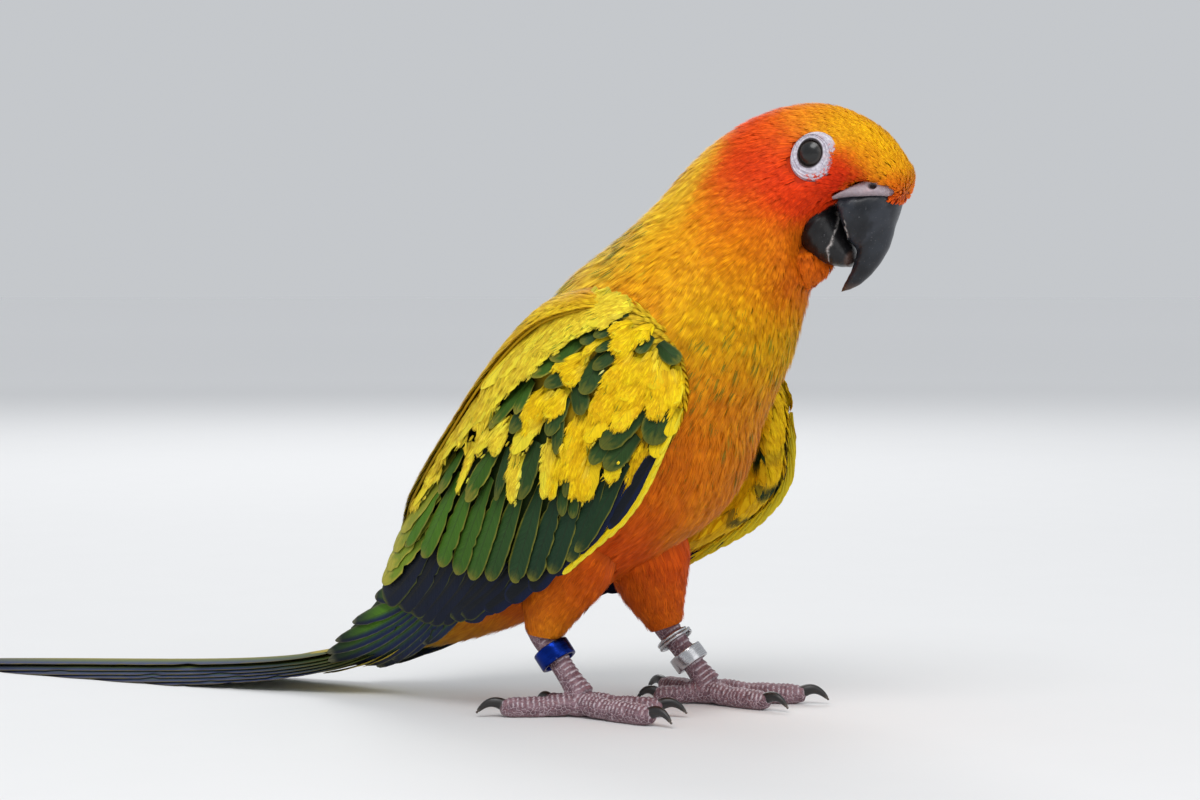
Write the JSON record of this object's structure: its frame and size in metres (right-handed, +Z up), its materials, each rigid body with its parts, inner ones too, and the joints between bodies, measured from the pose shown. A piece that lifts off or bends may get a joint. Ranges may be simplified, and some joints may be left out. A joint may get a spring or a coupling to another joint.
{
  "type": "sun conure",
  "caption": "Small long-tailed parrot standing with folded wings, head lowered a little, orange and yellow with green and blue wings, a ring on each leg.",
  "frame": {"origin": "on the floor, under the middle of the whole bird's bounding box", "axes": "+X is where the bird faces, its tail lies toward -X, +Y is its left side, +Z is up"},
  "size_m": [0.2618, 0.0704, 0.1361],
  "materials": {
    "feathers_face": "soft feathers",
    "feathers_yellow": "soft feathers",
    "feathers_breast": "soft feathers",
    "feathers_orange": "soft feathers",
    "feathers_wing": "smooth feathers, yellow, green and blue",
    "feathers_tail": "smooth feathers, olive and blue",
    "bill": "semi-gloss horn",
    "cere": "bare skin",
    "claw": "glossy horn",
    "eye": "wet gloss",
    "foot_skin": "scaled skin",
    "band_blue": "anodised",
    "band_steel": "worn"
  },
  "bodies": {
    "root": {"bill_lower": "bill", "bill_upper": "bill", "cere": "cere", "claw_left_inner_back": "claw", "claw_left_inner_front": "claw", "claw_left_outer_back": "claw", "claw_left_outer_front": "claw", "claw_right_inner_back": "claw", "claw_right_inner_front": "claw", "claw_right_outer_back": "claw", "claw_right_outer_front": "claw", "eye_left": "eye", "eye_right": "eye", "foot_left": "foot_skin", "foot_right": "foot_skin", "head": "feathers_face", "neck": "feathers_yellow", "ring_blue": "band_blue", "ring_steel": "band_steel", "ring_wire": "band_steel", "tail": "feathers_tail", "thigh_left": "feathers_orange", "thigh_right": "feathers_orange", "torso": "feathers_breast", "wing_left": "feathers_wing", "wing_right": "feathers_wing"}
  },
  "joints": []
}
